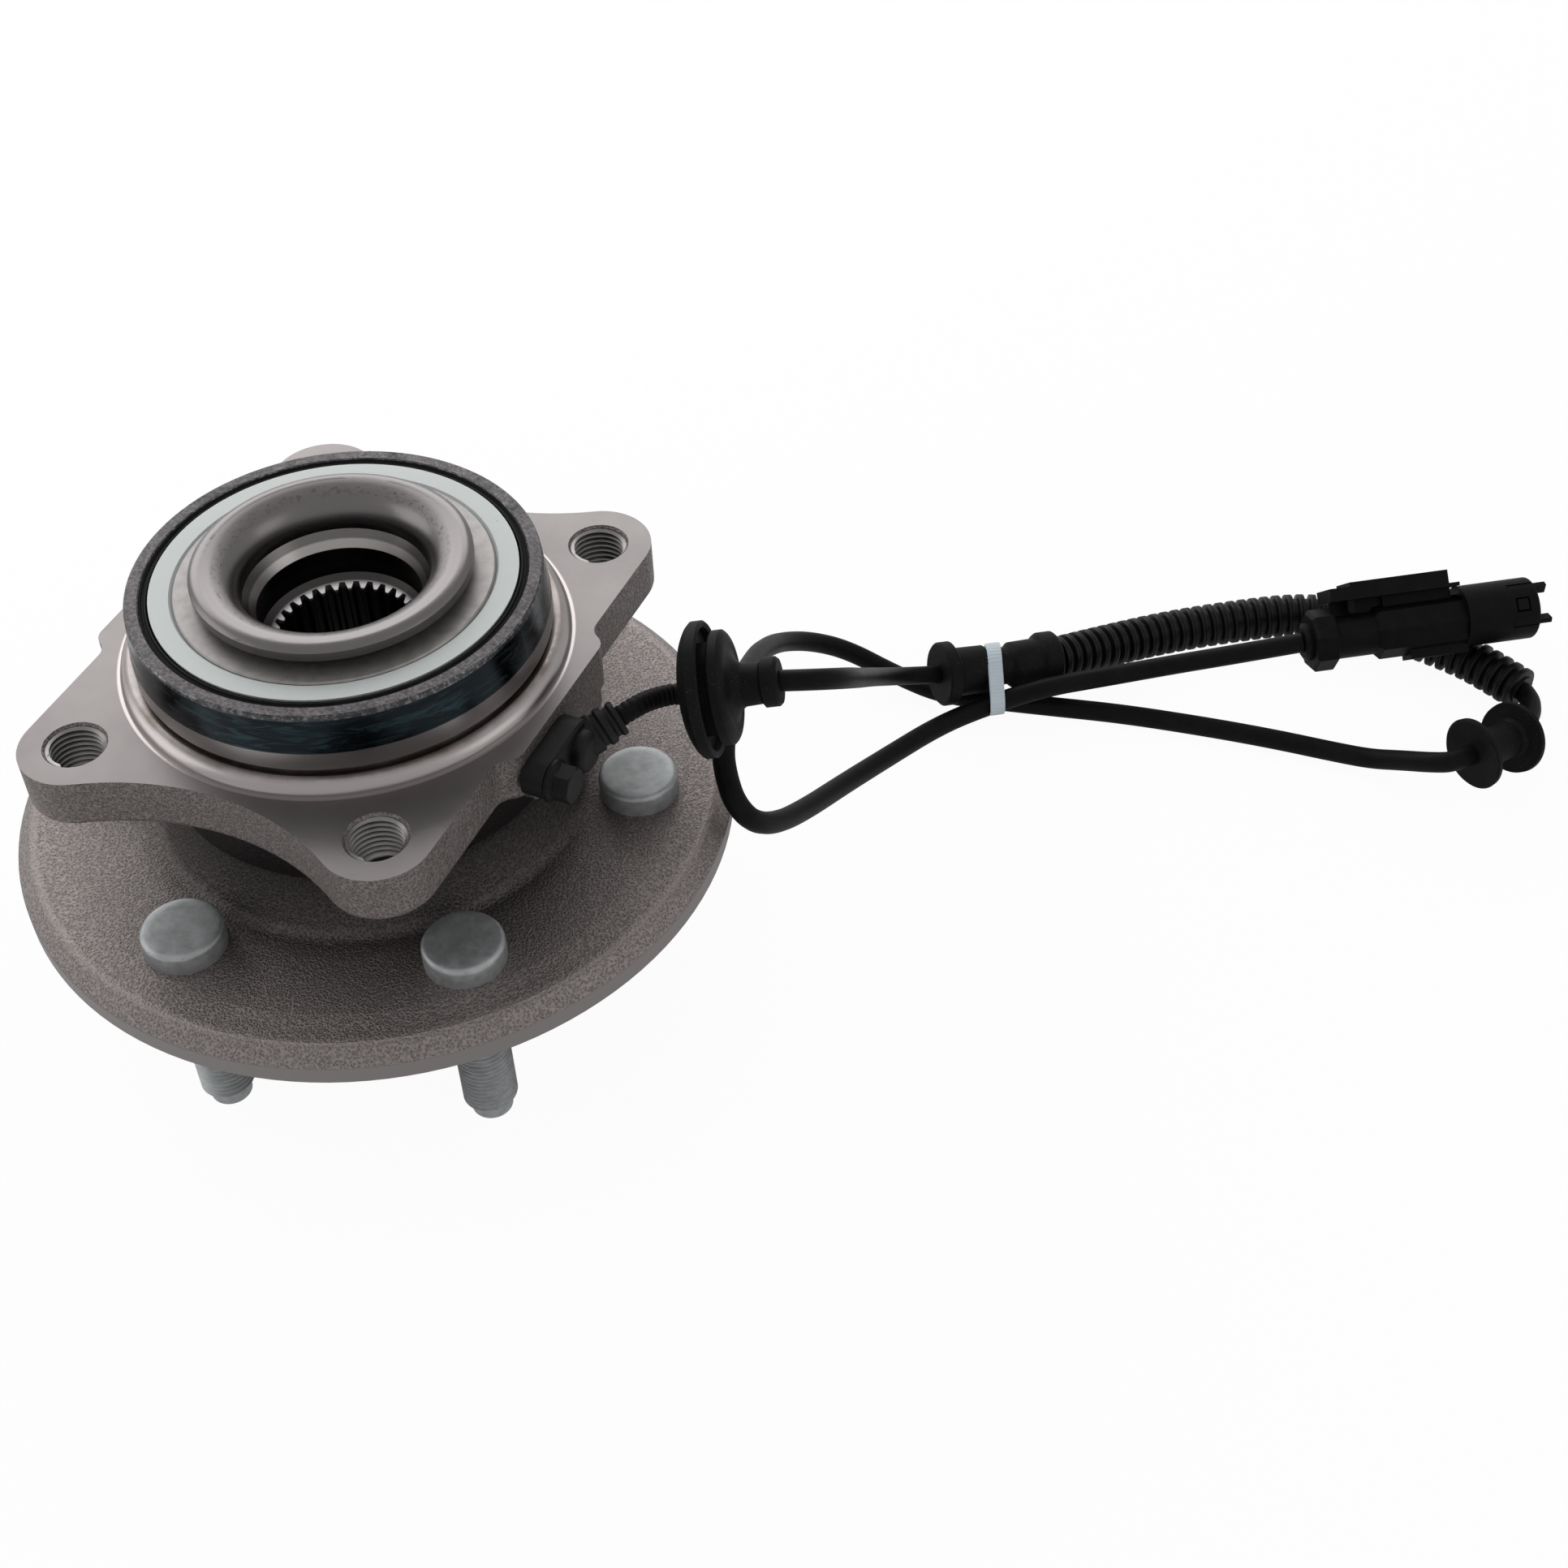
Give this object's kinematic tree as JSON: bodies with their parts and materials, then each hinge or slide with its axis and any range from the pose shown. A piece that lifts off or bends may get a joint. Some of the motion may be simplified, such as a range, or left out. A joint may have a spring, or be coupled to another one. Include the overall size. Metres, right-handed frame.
{
  "type": "wheel hub bearing",
  "caption": "Driven wheel hub bearing unit with studded flange, bolt-on knuckle plate, speed sensor and harness with connector.",
  "frame": {"origin": "centre of the wheel mounting face, on the axis of rotation", "axes": "+Z along the axis of rotation, away from the wheel towards the vehicle; +X towards the speed sensor"},
  "size_m": [0.3637, 0.3137, 0.1288],
  "materials": {
    "cast_steel": "shot-blasted forging with machined faces",
    "ground_steel": "ground",
    "ball_steel": "polished",
    "cage_plastic": "moulded",
    "zinc_plate": "pale zinc plate",
    "seal_steel": "pressed",
    "seal_rubber": "moulded",
    "stud_zinc": "dull zinc plate",
    "black_plastic": "fine moulded grain",
    "black_bolt": "black oxide",
    "cable_jacket": "satin",
    "grommet_rubber": "dusty moulded rubber",
    "tie_nylon": "translucent nylon",
    "conduit_plastic": "corrugated",
    "pin_brass": "plated"
  },
  "bodies": {
    "root": {"outer_ring": "cast_steel", "seal_case_inboard": "seal_steel", "seal_lip_inboard": "seal_rubber", "seal_case_outboard": "seal_steel", "seal_lip_outboard": "seal_rubber", "sensor_body": "black_plastic", "sensor_bush": "ground_steel", "sensor_bolt": "black_bolt", "sensor_o_ring": "seal_rubber", "sensor_lead": "cable_jacket", "panel_grommet": "grommet_rubber", "cable_drop": "cable_jacket", "sleeve_grommet": "grommet_rubber", "cable_tie": "tie_nylon", "conduit": "conduit_plastic", "cable_elbow": "cable_jacket", "spool_grommet": "grommet_rubber", "cable_loop": "cable_jacket", "connector_boot": "black_plastic", "connector_body": "black_plastic", "connector_lock": "black_plastic", "connector_pins": "pin_brass", "connector_seal": "seal_rubber"},
    "hub": {"hub_spindle": "cast_steel", "inner_ring": "ground_steel", "tone_ring": "ground_steel", "slinger_inboard": "zinc_plate", "wheel_studs": "stud_zinc"},
    "inboard_row": {"balls_inboard": "ball_steel", "cage_inboard": "cage_plastic"},
    "outboard_row": {"balls_outboard": "ball_steel", "cage_outboard": "cage_plastic"}
  },
  "joints": [
    {"name": "hub_spin", "type": "hinge", "parent": "root", "child": "hub", "pos_m": [0, 0, 0.04], "axis": [0, 0, 1], "continuous": true},
    {"name": "inboard_row_spin", "type": "hinge", "parent": "root", "child": "inboard_row", "pos_m": [0, 0, 0.063], "axis": [0, 0, 1], "continuous": true},
    {"name": "outboard_row_spin", "type": "hinge", "parent": "root", "child": "outboard_row", "pos_m": [0, 0, 0.0343], "axis": [0, 0, 1], "continuous": true}
  ],
  "couplings": [
    {"joint": "inboard_row_spin", "follows": "hub_spin", "ratio": 0.4325},
    {"joint": "outboard_row_spin", "follows": "hub_spin", "ratio": 0.4325}
  ]
}
